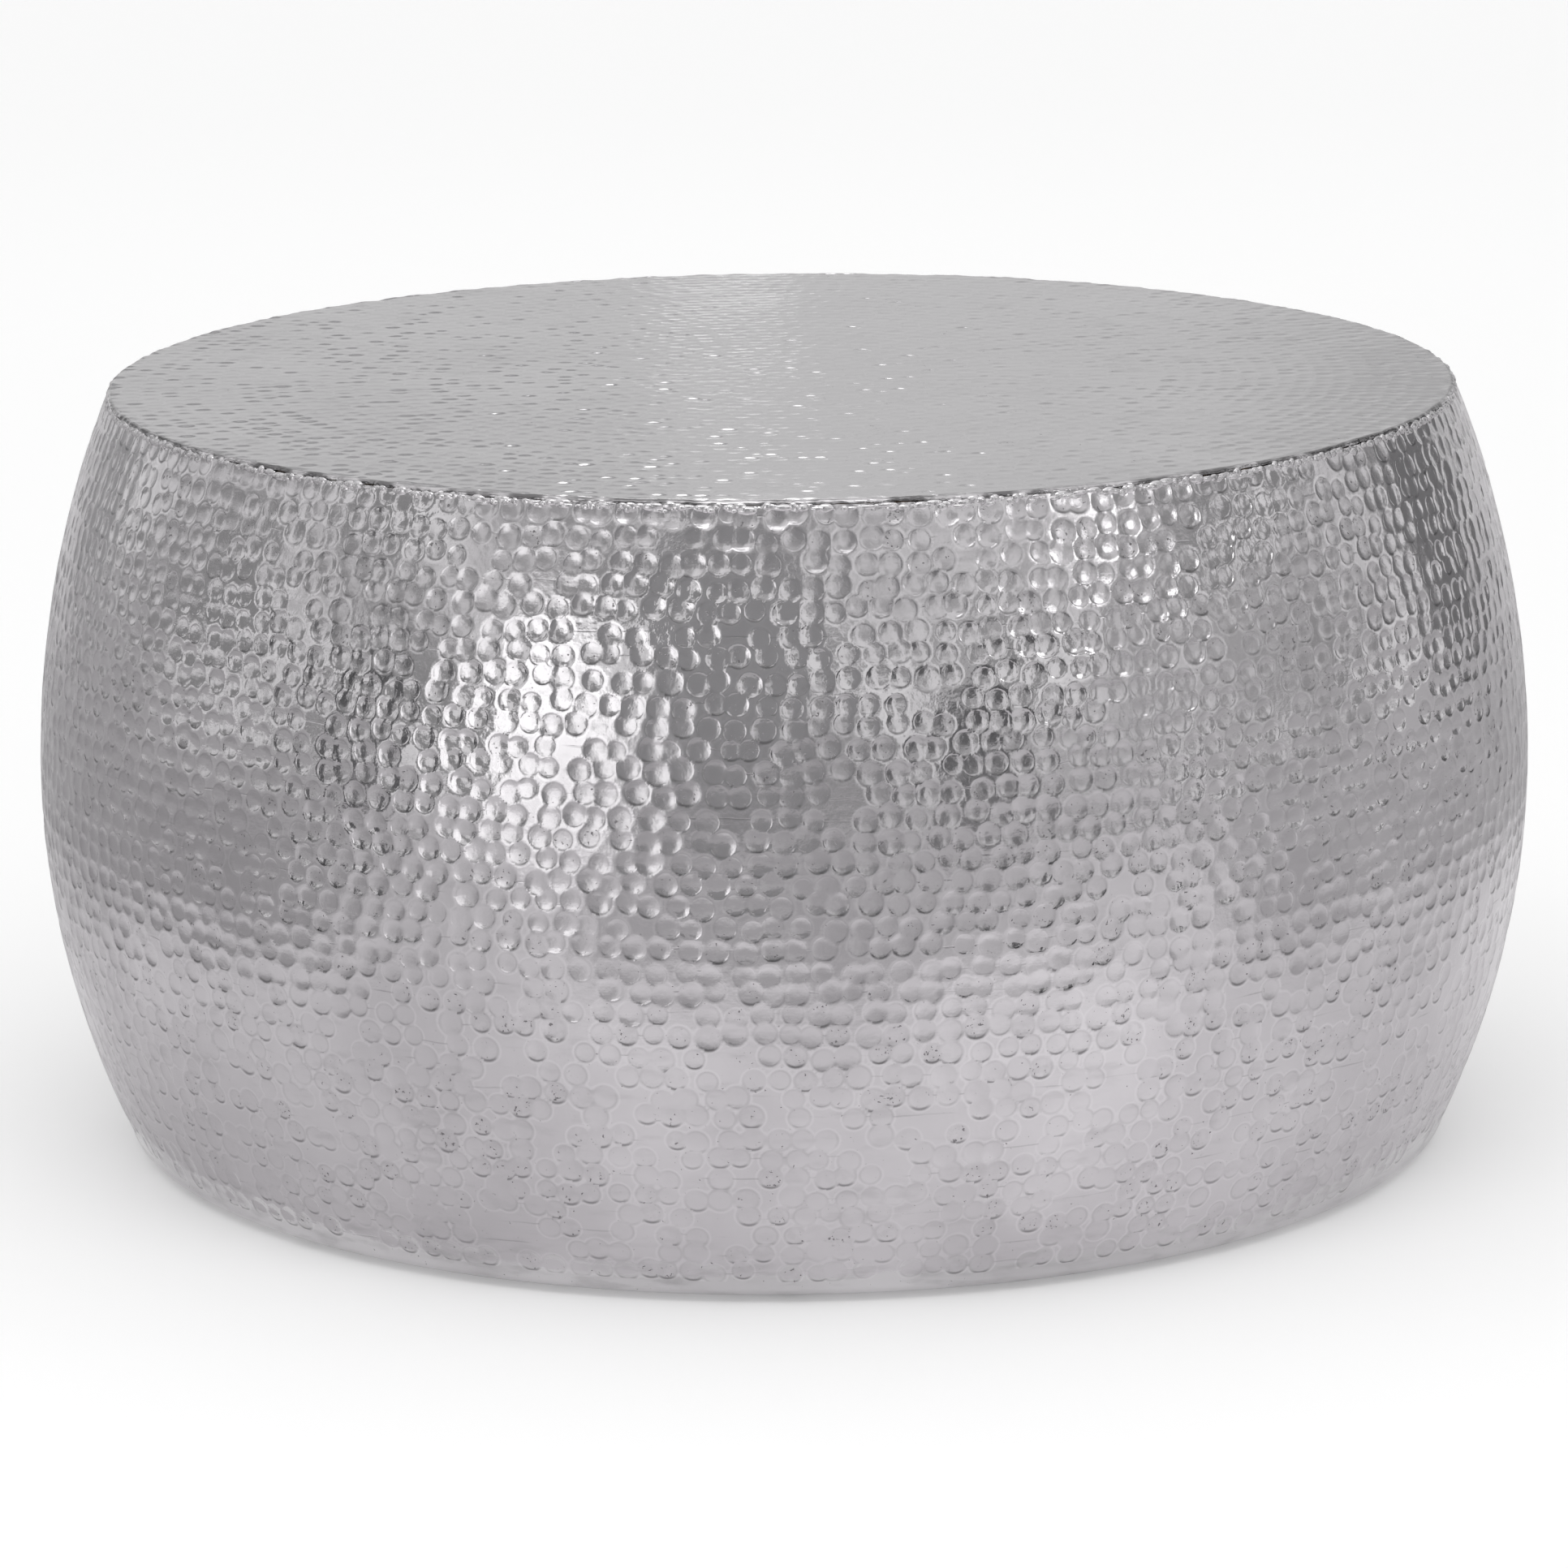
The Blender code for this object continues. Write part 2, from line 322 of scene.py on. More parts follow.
def marked(geometry, name, kind, domain, value):
    """Keeps a value on the mesh under a name."""
    inputs = {"Geometry": geometry, "Name": name, "Value": value}
    return step(geometry.tree, "GeometryNodeStoreNamedAttribute", inputs, data_type=kind, domain=domain)


def shaped_sheet(grid, marks, sheet_place, spare, final, flipped):
    """Moves a flat grid to its final place, smooth across its borders, and trims the spare cells there."""
    tree = grid.tree
    sheet = grid
    for name, value in zip(BLOW_MARKS, marks):
        sheet = marked(sheet, name, "FLOAT", "POINT", value)
    sheet = marked(sheet, "OFBake", "FLOAT2", "CORNER", sheet_place)
    sheet = marked(sheet, "spare", "FLOAT", "POINT", spare)
    sheet = step(tree, "GeometryNodeSetPosition", {"Geometry": sheet, "Position": final})
    if flipped:
        sheet = step(tree, "GeometryNodeFlipFaces", {0: sheet})
    sheet = step(tree, "GeometryNodeSetShadeSmooth", {"Geometry": sheet})
    kept_normal = {"Mesh": sheet, "Custom Normal": step(tree, "GeometryNodeInputNormal")}
    sheet = step(tree, "GeometryNodeSetMeshNormal", kept_normal, mode="FREE", domain="POINT")
    spare = step(tree, "GeometryNodeInputNamedAttribute", {"Name": "spare"}, data_type="FLOAT")
    trimmed = {"Geometry": sheet, "Selection": calc("GREATER_THAN", spare, 0.5)}
    sheet = step(tree, "GeometryNodeDeleteGeometry", trimmed)
    return step(tree, "GeometryNodeRemoveAttribute", {"Geometry": sheet, "Name": "spare"})


def hammered_wall_tree(material, inside):
    """A sector of the wall as a fine grid, dented by the nearest blow of each set."""
    tree, sizes = new_tree("hammered_wall", ("First angle", "Angle span"), ("Columns", "Rows"))
    columns = sizes["Columns"]
    grid_size = {"Vertices X": columns + 2.0, "Vertices Y": sizes["Rows"]}
    grid = step(tree, "GeometryNodeMeshGrid", grid_size, "Mesh")
    flat_x, flat_y, _ = axes_of(step(tree, "GeometryNodeInputPosition"))
    cells = columns - 1.0
    across = flat_x * ((cells + 2.0) / cells) + 0.5
    up = flat_y + 0.5
    angle = across * sizes["Angle span"] + sizes["First angle"]
    z = between(up, PLAIN_BAND_Z, WALL_TOP_Z)
    place, normal = on_barrel(angle, z)

    dent = 0.0
    edge = 10.0
    grime = 0.0
    below = 0.0
    for blow_set, (row_parity, column_parity) in enumerate(((0, 0), (0, 1), (1, 0), (1, 1))):
        blows = wall_blows(tree, row_parity, column_parity, 10 * blow_set + 20)
        hollow, share, drop, blow_grime_and_shade = struck(place, *blows, WALL_BLUNTNESS, WALL_TILT)
        dent = calc("MAXIMUM", dent, hollow)
        nearer = calc("LESS_THAN", share, edge)
        grime = between(nearer, grime, blow_grime_and_shade)
        below = between(nearer, below, drop)
        edge = calc("MINIMUM", edge, share)
    raised = band(edge, LIP_MIDDLE, LIP_HALF_WIDTH) * LIP_RISE
    uneven = (noise(place, scale=16.0, detail=2.0) - 0.5) * WALL_WAVE
    seam = 1.0 - ramp_up(abs(angle - SEAM_ANGLE), *SEAM_FILED)
    filed = seam * (noise(place, scale=220.0, detail=3.0) * SEAM_FILE_MARKS)
    fade = ramp_up(z, PLAIN_BAND_Z + 0.001, PLAIN_BAND_Z + 0.006)
    keep = fade * (1.0 - seam * 0.75)
    height = (raised - dent + uneven) * keep + filed
    if inside:
        height = height - WALL_SHEET
    final = vector_calc("ADD", place, scaled(normal, height))

    spare = calc("GREATER_THAN", abs(across - 0.5), 0.50001)
    sheet = shaped_sheet(grid, (edge, below, grime), point(across, up, 0.0), spare, final, inside)
    return finish_tree(sheet, material)


def object_place(tree):
    """The place on the object that a pattern follows."""
    return step(tree, "ShaderNodeTexCoord", output="Object")


def new_finish(name):
    """A material and its shader."""
    material = bpy.data.materials.new(name)
    material.use_nodes = True
    return material, material.node_tree.nodes["Principled BSDF"]


def finished(shader, tone, roughness, relief, distance, metallic):
    """Gives a shader its colour, its gloss and its fine relief."""
    feed(shader.inputs["Base Color"], tone)
    feed(shader.inputs["Roughness"], roughness)
    shader.inputs["Metallic"].default_value = metallic
    bump = step(relief.tree, "ShaderNodeBump", {"Distance": distance, "Height": relief})
    feed(shader.inputs["Normal"], bump)


def mixed(factor, first, second):
    """A colour between two colours."""
    colours = [colour if isinstance(colour, Value) else (*colour, 1) for colour in (first, second)]
    inputs = {0: factor, 6: colours[0], 7: colours[1]}
    return step(factor.tree, "ShaderNodeMix", inputs, 2, data_type="RGBA")


def toned(colour, share):
    """A plain colour made darker or paler."""
    return [channel * share for channel in colour]


def stretched(vector, x, y, z):
    """A pattern's place, with each axis stretched by its own amount."""
    return step(vector.tree, "ShaderNodeMapping", {"Vector": vector, "Scale": (x, y, z)})


def row_scores_and_shade(place):
    """Thin broken lines level round the wall between rows of blows, a groove in the bump that is also
    painted darker as shade, and dark patches near the foot.
    """
    _, _, z = axes_of(place)
    level = (z - PLAIN_BAND_Z) / ROW_PITCH + noise(place, scale=14.0, detail=3.0)
    line = ramp_up(abs(calc("FRACT", level) - 0.5), 0.445, 0.49)
    broken = ramp_up(noise(stretched(place, 1.0, 1.0, 5.0), scale=34.0, detail=5.0), 0.50, 0.66)
    low = 1.0 - ramp_up(z, PLAIN_BAND_Z - 0.002, PLAIN_BAND_Z + 0.030)
    dark_patches = ramp_up(noise(stretched(place, 1.0, 1.0, 4.0), scale=44.0, detail=5.0), 0.50, 0.70)
    return line * broken, low * dark_patches


def hammered_aluminium(name, bright, dull, low_roughness, high_roughness, crispness, scored_and_shaded):
    """Polished hammered sheet: pale ridges, a dark ring at dent edges that is polish residue and painted
    shade, painted shade on the lower edge of dents, stains, pits, scratches.
    """
    material, shader = new_finish(name)
    tree = material.node_tree
    place = object_place(tree)
    blow, below, grime = [step(tree, "ShaderNodeAttribute", output="Fac", attribute_name=label)
                          for label in BLOW_MARKS]
    hollow = 1.0 - ramp_up(blow, 0.75, 1.0)
    mottle = ramp_up(noise(place, scale=240.0, detail=3.0), 0.36, 0.60)
    dirty = ramp_up(grime, 0.45, 1.0) * hollow * mottle
    cloud = ramp_up(noise(place, scale=11.0, detail=5.0), 0.35, 0.70)
    stain = ramp_up(noise(stretched(place, 1.0, 1.0, 3.5), scale=38.0, detail=6.0), 0.52, 0.74)
    pit = ramp_up(noise(place, scale=620.0, detail=3.0) + dirty * 0.12, 0.715, 0.755)
    scratch = noise(stretched(place, 60.0, 60.0, 900.0), scale=1.0, detail=3.0)
    worn = ramp_up(noise(place, scale=70.0, detail=3.0), 0.38, 0.62)
    # A darker ring at each dent's edge: polish residue there, and painted shade of the steep rim.
    brim = band(blow, 0.92, 0.17) * worn * 0.18
    # Painted shade: a dark crescent on the lower edge of some dents, chosen by each blow's value for stains
    # and shade.
    lip_shade = band(blow, 0.93, 0.20) * ramp_up(below, 0.45, 0.90) * ramp_up(grime, 0.20, 0.75)
    halo = band(blow, 1.14, 0.16)
    dark = toned(dull, 0.45)
    tone = mixed(cloud, dull, bright)
    tone = mixed(stain * 0.36, tone, toned(dull, 0.78))
    tone = mixed(halo * 0.38, tone, toned(bright, 1.12))
    tone = mixed(dirty * 0.20, tone, toned(dull, 0.72))
    tone = mixed(brim, tone, dark)
    tone = mixed(lip_shade * 0.80 * crispness, tone, toned(dull, 0.32))
    tone = mixed(pit * 0.70, tone, PIT_COLOUR)
    rough = between(cloud, high_roughness, low_roughness)
    rough = rough + calc("MAXIMUM", stain, dirty) * 0.07 + pit * 0.25
    grit = noise(place, scale=1500.0, detail=2.0)
    brink = ramp_up(blow, 0.82, 1.0) + noise(place, scale=250.0, detail=2.0) * 2.2
    relief = grit * 0.16 + scratch * 0.30 - pit * 1.5 + brink * crispness
    if scored_and_shaded:
        line, dark_patches = row_scores_and_shade(place)
        line = line * ramp_up(blow, 0.86, 1.04)
        # Painted shade: the lines between rows are darkened in colour as well as grooved in the bump.
        tone = mixed(line * 0.38, tone, dark)
        # Darker patches in the lowest rows, towards the foot.
        tone = mixed(dark_patches * 0.26, tone, dark)
        relief = relief - line * 0.9
    finished(shader, tone, rough, relief, distance=0.00006, metallic=1.0)
    return material


wall_finish = hammered_aluminium("hammered wall", WALL_BRIGHT, WALL_DULL, low_roughness=0.08,
                                 high_roughness=0.20, crispness=1.0, scored_and_shaded=True)
wall_tree = hammered_wall_tree(wall_finish, inside=False)
for sector in range(SECTORS):
    wall = grow(f"drum_wall_{sector + 1}", wall_tree, {
        "First angle": math.tau * sector / SECTORS, "Angle span": math.tau / SECTORS,
        "Columns": SECTOR_COLUMNS, "Rows": SECTOR_ROWS})
    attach(wall, "root")
    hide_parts("drum_shell")


# Inside of the wall
# The back of the same aluminium sheet, where each blow from outside shows as a bump. It is left as the
# mill rolled it, because nobody sees it.
INSIDE_COLUMNS = 661
INSIDE_ROWS = 105
MILL_DULL = (0.44, 0.44, 0.45)
MILL_BRIGHT = (0.58, 0.58, 0.59)
MILL_LINES = (0.40, 0.40, 0.41)


def mill_aluminium(name):
    """Bare sheet as rolled: greyer, with rolling lines, smears and scuffs."""
    material, shader = new_finish(name)
    place = object_place(material.node_tree)
    lines = noise(stretched(place, 8.0, 8.0, 260.0), scale=1.0, detail=4.0)
    smear = ramp_up(noise(place, scale=14.0, detail=5.0), 0.35, 0.70)
    tone = mixed(lines * 0.35, mixed(smear, MILL_DULL, MILL_BRIGHT), MILL_LINES)
    finished(shader, tone, between(smear, 0.52, 0.38), lines, distance=0.00008, metallic=1.0)
    return material


mill_finish = mill_aluminium("mill aluminium")
wall_inside = grow("drum_wall_inside", hammered_wall_tree(mill_finish, inside=True), {
    "First angle": 0.0, "Angle span": math.tau, "Columns": INSIDE_COLUMNS, "Rows": INSIDE_ROWS})
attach(wall_inside, "root")
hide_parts("drum_shell")


# Foot of the wall
# The plain band left unhammered at the bottom of the same aluminium sheet, which is turned in there over
# a former to a flat flange.
FOOT_BEND = 0.006
FLANGE_FLAT = 0.030
FOOT_SEGMENTS = 360
SHARP_CORNER = math.radians(35)
SAME_PLACE = 0.00001


def barrel_radius(z):
    """Radius of the plain wall at height z."""
    rise = z - BELLY_HEIGHT
    arc = UPPER_ARC if rise > 0 else LOWER_ARC
    return BELLY_RADIUS - (arc - math.sqrt(arc * arc - rise * rise))


def quarter_turn(steps):
    """Angles that divide a quarter turn evenly."""
    return [math.pi / 2 * i / steps for i in range(steps + 1)]


def kept(name, bm, material=None):
    """Keeps a bmesh as an object of the scene."""
    mesh = bpy.data.meshes.new(name)
    bm.to_mesh(mesh)
    bm.free()
    if material:
        mesh.materials.append(material)
    thing = bpy.data.objects.new(name, mesh)
    bpy.context.scene.collection.objects.link(thing)
    return thing


def kept_smooth(name, bm, material):
    """Keeps a bmesh as an object with its faces outwards, smooth but for its sharp corners."""
    bmesh.ops.recalc_face_normals(bm, faces=bm.faces)
    thing = kept(name, bm, material)
    thing.data.shade_smooth()
    thing.data.set_sharp_from_angle(angle=SHARP_CORNER)
    return thing


def outline(bm, profile, closed):
    """The wire of a profile, from (radius, height) points that run down its outer side."""
    verts = [bm.verts.new((radius, 0, z)) for radius, z in profile]
    ends = verts[1:] + verts[:1] if closed else verts[1:]
    return verts + [bm.edges.new(pair) for pair in zip(verts, ends)]


def spin(bm, wire, angle, segments):
    """Turns a wire about Z."""
    bmesh.ops.spin(bm, geom=wire, axis=(0, 0, 1), cent=(0, 0, 0), angle=angle, steps=segments)


def turned(name, profile, segments, material, closed=True):
    """A ring or disc turned all the way round from its profile."""
    bm = bmesh.new()
    spin(bm, outline(bm, profile, closed), math.tau, segments)
    bmesh.ops.remove_doubles(bm, verts=bm.verts, dist=SAME_PLACE)
    return kept_smooth(name, bm, material)


bend_z = FOOT_Z + FOOT_BEND
flange_outer = barrel_radius(bend_z) - FOOT_BEND
flange_inner = flange_outer - FLANGE_FLAT


def bend(radius):
    """Points round the foot's bend at one radius, from the wall to the flange."""
    return [(flange_outer + radius * math.cos(angle), bend_z - radius * math.sin(angle))
            for angle in quarter_turn(8)]


foot_profile = [(barrel_radius(PLAIN_BAND_Z), PLAIN_BAND_Z)] + bend(FOOT_BEND)
foot_profile += [(flange_inner, FOOT_Z), (flange_inner, FOOT_Z + WALL_SHEET)]
foot_profile += list(reversed(bend(FOOT_BEND - WALL_SHEET)))
foot_profile.append((barrel_radius(PLAIN_BAND_Z) - WALL_SHEET, PLAIN_BAND_Z))
foot = turned("drum_foot", foot_profile, FOOT_SEGMENTS, wall_finish)
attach(foot, "root")
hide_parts("drum_shell")


# Top sheet
# A flat aluminium disc, beaten in a tight spiral from the middle out with a smaller hammer, laid on the
# wall's upper edge, welded there and filed round at the rim. It is shown as four quarters of one sheet.
top_low, top_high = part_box("top_sheet")
TOP_Z = top_high.z
TOP_UNDER_Z = top_low.z
TOP_RADIUS = barrel_radius(TOP_UNDER_Z)
TOP_EDGE_ROUND = 0.0019
TOP_RIM_START = TOP_RADIUS - 0.004
TOP_FLAT_SHARE = 0.965
RIM_FLAT_END = 0.45
RIM_ROUND_END = 0.85
RIM_FILED = 0.007
RIM_LUMPS = 0.0022
RIM_RAGS = 0.0024
TOP_WAVE = 0.0008
TOP_BLOW_PITCH = 0.0105
TOP_BLOW_ROW = 0.0095
TOP_REACH = (0.0042, 0.0054)
TOP_FORCE = (0.50, 2.40)
TOP_BALL_RADIUS = 0.080
TOP_BLUNTNESS = 2.0
TOP_GRID = 251
TOP_BRIGHT = (0.61, 0.595, 0.61)
TOP_DULL = (0.58, 0.565, 0.58)
# Painted shade round the top's rim: its colour, and where it starts and where it is full.
RIM_SHADE = (0.12, 0.117, 0.12)
RIM_SHADE_START = TOP_RADIUS - 0.0026
RIM_SHADE_FULL = TOP_RADIUS - 0.0008


def top_blows(tree):
    """Blows along a spiral, evenly spaced, and each one's reach, depth and value for stains."""
    index = step(tree, "GeometryNodeInputIndex")
    growth = TOP_BLOW_ROW / math.tau
    count = int(math.pi * TOP_RADIUS ** 2 / (TOP_BLOW_PITCH * TOP_BLOW_ROW))
    travel = (index + dice(-0.25, 0.25, 3, index)) * TOP_BLOW_PITCH
    angle = calc("SQRT", calc("MAXIMUM", travel, 0.0) * (2 / growth))
    radius = angle * growth + dice(-0.0011, 0.0011, 4, index)
    points = step(tree, "GeometryNodePoints", {"Count": count, "Position": polar(radius, angle, TOP_Z)})
    reach = dice(*TOP_REACH, 7, index)
    force = between(dice(0.0, 1.0, 8, index) ** 3.0, *TOP_FORCE)
    cap = reach * reach / (2 * TOP_BALL_RADIUS)
    return points, reach, cap * force, dice(0.0, 0.8, 9, index)


def ramp_line(value, start, end):
    """0 before start, 1 after end, and a straight rise between them."""
    inputs = {"Value": value, "From Min": start, "From Max": end}
    return step(value.tree, "ShaderNodeMapRange", inputs, "Result")


def hammered_top_tree(material):
    """A quarter of the top: a square grid wrapped to a quarter disc, turned down at the rim."""
    tree, sizes = new_tree("hammered_top", ("Quarter",), ("Columns",))
    columns = sizes["Columns"]
    side = columns + 1.0
    grid = step(tree, "GeometryNodeMeshGrid", {"Vertices X": side, "Vertices Y": side}, "Mesh")
    flat_x, flat_y, _ = axes_of(step(tree, "GeometryNodeInputPosition"))
    cells = columns - 1.0
    stretch = (cells + 1.0) / cells
    across = 1.0 - (0.5 - flat_x) * stretch
    up = 1.0 - (0.5 - flat_y) * stretch
    wide = calc("GREATER_THAN", abs(across), abs(up))
    longer = calc("MAXIMUM", across, up)
    shorter = calc("MINIMUM", across, up)
    lean = shorter / calc("MAXIMUM", longer, 0.0001) * (math.pi / 4)
    angle = between(wide, math.pi / 2 - lean, lean) + sizes["Quarter"] * (math.pi / 2)

    inner = calc("MINIMUM", longer / TOP_FLAT_SHARE * TOP_RIM_START, TOP_RIM_START)
    rim = calc("MAXIMUM", (longer - TOP_FLAT_SHARE) / (1 - TOP_FLAT_SHARE), 0.0)
    run_out = calc("MINIMUM", rim / RIM_FLAT_END, 1.0) * (TOP_RADIUS - TOP_EDGE_ROUND - TOP_RIM_START)
    turn = ramp_line(rim, RIM_FLAT_END, RIM_ROUND_END) * (math.pi / 2)
    drop = ramp_line(rim, RIM_ROUND_END, 1.0) * (TOP_Z - TOP_EDGE_ROUND - TOP_UNDER_Z)
    radius = inner + run_out + calc("SINE", turn) * TOP_EDGE_ROUND
    fall = (1.0 - calc("COSINE", turn)) * TOP_EDGE_ROUND
    place = polar(radius, angle, TOP_Z - (fall + drop))

    dent, edge, below, blow_grime_and_shade = struck(place, *top_blows(tree), TOP_BLUNTNESS, 0.0)
    uneven = (noise(place, scale=8.0, detail=1.0) - 0.5) * TOP_WAVE
    near_rim = ramp_up(radius, TOP_RADIUS - RIM_FILED, TOP_RADIUS)
    ragged = noise(place, scale=170.0, detail=4.0) - 0.5
    lumpy = noise(place, scale=60.0, detail=3.0) - 0.5
    rise = uneven - dent + near_rim * lumpy * RIM_LUMPS
    final = vector_calc("ADD", place, polar(near_rim * ragged * RIM_RAGS, angle, rise))

    spare = calc("LESS_THAN", shorter, -0.00001)
    sheet = shaped_sheet(grid, (edge, below, blow_grime_and_shade), point(across, up, 0.0), spare, final, False)
    return finish_tree(sheet, material)


def shaded_rim(material):
    """Adds a ragged dark line at the edge of the sheet: painted shade where the sheet turns down at the rim
    to meet the wall.
    """
    base_colour = material.node_tree.nodes["Principled BSDF"].inputs["Base Color"]
    tone = Value(base_colour.links[0].from_socket)
    place = object_place(material.node_tree)
    out = vector_calc("LENGTH", vector_calc("MULTIPLY", place, (1.0, 1.0, 0.0)))
    torn = ramp_up(noise(place, scale=52.0, detail=5.0), 0.38, 0.58)
    feed(base_colour, mixed(ramp_up(out, RIM_SHADE_START, RIM_SHADE_FULL) * torn * 0.88, tone, RIM_SHADE))


top_finish = hammered_aluminium("hammered top", TOP_BRIGHT, TOP_DULL, low_roughness=0.07,
                                high_roughness=0.12, crispness=0.0, scored_and_shaded=False)
shaded_rim(top_finish)
top_tree = hammered_top_tree(top_finish)
for quarter in range(4):
    top = grow(f"top_sheet_{quarter + 1}", top_tree, {"Quarter": float(quarter), "Columns": TOP_GRID})
    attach(top, "root")
    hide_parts("top_sheet")


# Rim weld
# The bead of aluminium weld that closes the corner between the top sheet and the wall, laid from outside,
# filed down by hand and left ragged.
RIM_LUMP_COUNT = 980
WELD_BRIGHT = (0.66, 0.645, 0.66)
WELD_SOOT = (0.26, 0.255, 0.26)


def lump_source(name, rings, spokes):
    """A small round lump, one metre across, to be scaled where it is placed."""
    bm = bmesh.new()
    bmesh.ops.create_uvsphere(bm, u_segments=spokes, v_segments=rings, radius=0.5)
    source = kept(name, bm)
    source.data.shade_smooth()
    return source


def placed(source, count, place, size, turn=None):
    """Copies of a source object on points given by place, each scaled and turned about Z."""
    tree = place.tree
    info = step(tree, "GeometryNodeObjectInfo", {"Object": source}, "Geometry")
    points = step(tree, "GeometryNodePoints", {"Count": count, "Position": place})
    inputs = {"Points": points, "Instance": info, "Scale": size}
    if turn is not None:
        inputs["Rotation"] = point(0.0, 0.0, turn)
    return step(tree, "GeometryNodeInstanceOnPoints", inputs)


def rim_weld_tree(source, material):
    """Lumps side by side round the rim, longer than they are high."""
    tree, sizes = new_tree("rim_weld", ("Radius", "Height"), ("Count",))
    index = step(tree, "GeometryNodeInputIndex")
    angle = (index + dice(-0.4, 0.4, 1, index)) * (math.tau / sizes["Count"])
    radius = sizes["Radius"] + dice(-0.0010, -0.0002, 2, index)
    z = sizes["Height"] + dice(-0.0036, -0.0010, 3, index)
    thick = dice(0.0026, 0.0042, 4, index)
    long = dice(0.0040, 0.0125, 5, index)
    high = dice(0.0026, 0.0056, 6, index)
    lumps = placed(source, sizes["Count"], polar(radius, angle, z), point(thick, long, high), angle)
    return finish_tree(lumps, material)


def weld_aluminium(name):
    """Weld metal: duller and rougher than the sheet, with soot in patches."""
    material, shader = new_finish(name)
    place = object_place(material.node_tree)
    soot = ramp_up(noise(place, scale=260.0, detail=4.0), 0.54, 0.76)
    tone = mixed(soot, WELD_BRIGHT, WELD_SOOT)
    grain = noise(place, scale=1400.0, detail=3.0)
    finished(shader, tone, between(soot, 0.12, 0.42), grain, distance=0.0001, metallic=1.0)
    return material


weld_finish = weld_aluminium("weld aluminium")
lump = lump_source("weld_lump", rings=6, spokes=8)
rim_weld = grow("rim_weld", rim_weld_tree(lump, weld_finish), {
    "Radius": TOP_RADIUS, "Height": TOP_UNDER_Z, "Count": RIM_LUMP_COUNT})
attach(rim_weld, "root")


# Seam weld
# The run of aluminium weld up the back, inside the drum, that closes the rolled sheet. Outside it is
# filed flush.
SEAM_RIPPLES = 150
SEAM_RIPPLE_THICK = 0.0022
SEAM_LOW_Z = FOOT_Z + 0.024
SEAM_HIGH_Z = WALL_TOP_Z - 0.046
SEAM_STAND = WALL_SHEET + 0.0004


def seam_weld_tree(source, material):
    """Overlapping ripples up the inside of the wall at the seam."""
    tree, sizes = new_tree("seam_weld", ("Low", "High"), ("Count",))
    index = step(tree, "GeometryNodeInputIndex")
    z = between(index / sizes["Count"], sizes["Low"], sizes["High"])
    radius, _, _ = barrel(z)
    place = point(dice(-0.0006, 0.0006, 1, index), radius - SEAM_STAND, z)
    size = point(dice(0.0055, 0.0075, 2, index), SEAM_RIPPLE_THICK, dice(0.0040, 0.0050, 3, index))
    return finish_tree(placed(source, sizes["Count"], place, size), material)


seam_weld = grow("seam_weld", seam_weld_tree(lump, weld_finish), {
    "Low": SEAM_LOW_Z, "High": SEAM_HIGH_Z, "Count": SEAM_RIPPLES})
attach(seam_weld, "root")


# Top board
# A disc of raw fibreboard, sawn round and glued under the top sheet, which keeps the thin metal from
# denting under a load.
board_low, board_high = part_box("top_board")
CHAMFER = 0.0008
RING_SEGMENTS = 240
FIBRE_DARK = (0.30, 0.19, 0.105)
FIBRE_PALE = (0.47, 0.33, 0.20)
FIBRE_BLOTCH = (0.35, 0.23, 0.13)


def fibreboard(name):
    """Raw sanded fibreboard: brown, with pale and dark fibres, dull and slightly furry."""
    material, shader = new_finish(name)
    place = object_place(material.node_tree)
    fibre = ramp_up(noise(stretched(place, 1.0, 2.4, 1.0), scale=420.0, detail=5.0), 0.35, 0.68)
    blotch = noise(place, scale=18.0, detail=4.0)
    tone = mixed(blotch * 0.5, mixed(fibre, FIBRE_DARK, FIBRE_PALE), FIBRE_BLOTCH)
    finished(shader, tone, between(fibre, 0.94, 0.80), fibre, distance=0.00025, metallic=0.0)
    return material


board_finish = fibreboard("fibreboard")
board_radius = board_high.x
board_profile = [(0, board_high.z), (board_radius - CHAMFER, board_high.z),
                 (board_radius, board_high.z - CHAMFER), (board_radius, board_low.z + CHAMFER),
                 (board_radius - CHAMFER, board_low.z), (0, board_low.z)]
board = turned("top_board_disc", board_profile, RING_SEGMENTS, board_finish, closed=False)
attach(board, "root")
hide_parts("top_board")


# Rim ring
# A split ring rolled from aluminium angle, sprung into the wall under the board and stitched to it with
# short runs of weld.
ring_low, ring_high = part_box("rim_ring")
RING_SHEET = 0.0025
RING_LEDGE = 0.026
RING_SPLIT = 0.004
FIT_GAP = 0.0003
STITCHES = 12
STITCH_RIPPLES = 9
RIPPLE_ANGLE = 0.0085
RIPPLE_THICK = 0.0042
ring_heights = [ring_high.z, ring_high.z - RING_SHEET, (ring_high.z + ring_low.z) / 2, ring_low.z]
ring_outer = [(barrel_radius(z) - WALL_SHEET - 2 * FIT_GAP, z) for z in ring_heights]
ring_inner = [(radius - RING_SHEET, z) for radius, z in reversed(ring_outer[1:])]
ledge_inner = board_radius - RING_LEDGE
ring_ledge = [(ledge_inner, ring_high.z - RING_SHEET), (ledge_inner, ring_high.z)]
ring_profile = ring_outer + ring_inner + ring_ledge


def split_ring(name, profile, split, segments, material):
    """A ring turned nearly all the way round, with its ends capped and a gap between them at the seam."""
    bm = bmesh.new()
    half_gap = split / 2 / profile[0][0]
    wire = outline(bm, profile, closed=True)
    to_seam = Matrix.Rotation(SEAM_ANGLE + half_gap, 3, "Z")
    bmesh.ops.rotate(bm, verts=bm.verts, matrix=to_seam, cent=(0, 0, 0))
    spin(bm, wire, math.tau - 2 * half_gap, segments)
    bmesh.ops.holes_fill(bm, edges=[edge for edge in bm.edges if edge.is_boundary])
    return kept_smooth(name, bm, material)


ring = split_ring("rim_angle_ring", ring_profile, RING_SPLIT, RING_SEGMENTS, mill_finish)
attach(ring, "root")
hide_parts("rim_ring")


